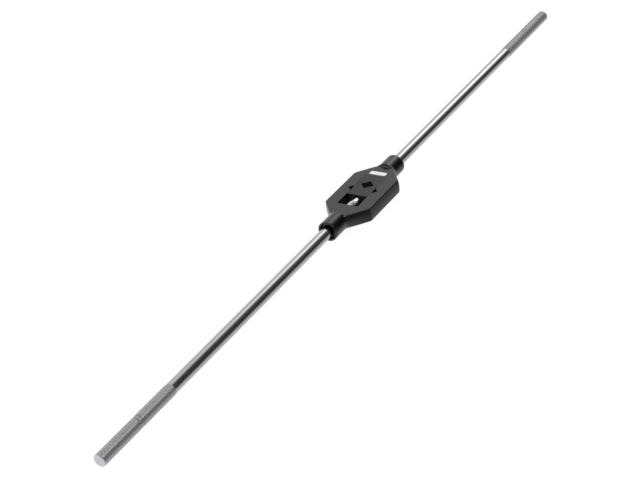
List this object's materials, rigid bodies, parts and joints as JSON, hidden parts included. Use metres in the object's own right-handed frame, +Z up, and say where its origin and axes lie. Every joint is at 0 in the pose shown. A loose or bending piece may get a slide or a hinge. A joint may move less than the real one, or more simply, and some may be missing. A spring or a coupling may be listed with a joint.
{
  "type": "adjustable tap wrench",
  "caption": "Straight tap wrench: slotted housing with a fixed and a screw-driven V jaw that grip a tap's square, and two long round handles with knurled ends.",
  "frame": {"origin": "centre of the bounding box in X and Y, at its bottom, which is the lowest line of the two bosses", "axes": "+X along the handles, from the adjusting handle to the fixed handle; +Y across the housing; +Z up, normal to the housing's flats"},
  "size_m": [0.75, 0.0448, 0.018],
  "materials": {
    "black_paint": "semi-gloss black paint",
    "black_steel": "blackened hardened steel",
    "polished_steel": "bright turned bar with knurled grips",
    "hard_steel": "ground hardened steel",
    "white_label": "blank white plate"
  },
  "bodies": {
    "housing_body": {"housing": "black_paint", "screw_bush": "hard_steel", "fixed_jaw": "black_steel", "fixed_jaw_dowel_left": "hard_steel", "fixed_jaw_dowel_right": "hard_steel", "fixed_handle": "polished_steel", "fixed_handle_pin": "hard_steel", "name_plate": "white_label"},
    "jaw_body": {"sliding_jaw": "black_steel", "nose_pin_left": "hard_steel", "nose_pin_right": "hard_steel"},
    "handle_body": {"adjusting_handle": "polished_steel"}
  },
  "joints": [
    {"name": "jaw_slide", "type": "slide", "parent": "housing_body", "child": "jaw_body", "axis": [-1, 0, 0], "range_m": [0, 0.0156]},
    {"name": "handle_turn", "type": "hinge", "parent": "jaw_body", "child": "handle_body", "pos_m": [-0.2, 0, 0.009], "axis": [-1, 0, 0], "range_deg": [0, 3733]}
  ],
  "couplings": [
    {"joint": "jaw_slide", "follows": "handle_turn", "m_per_rad": 0.00023873}
  ]
}
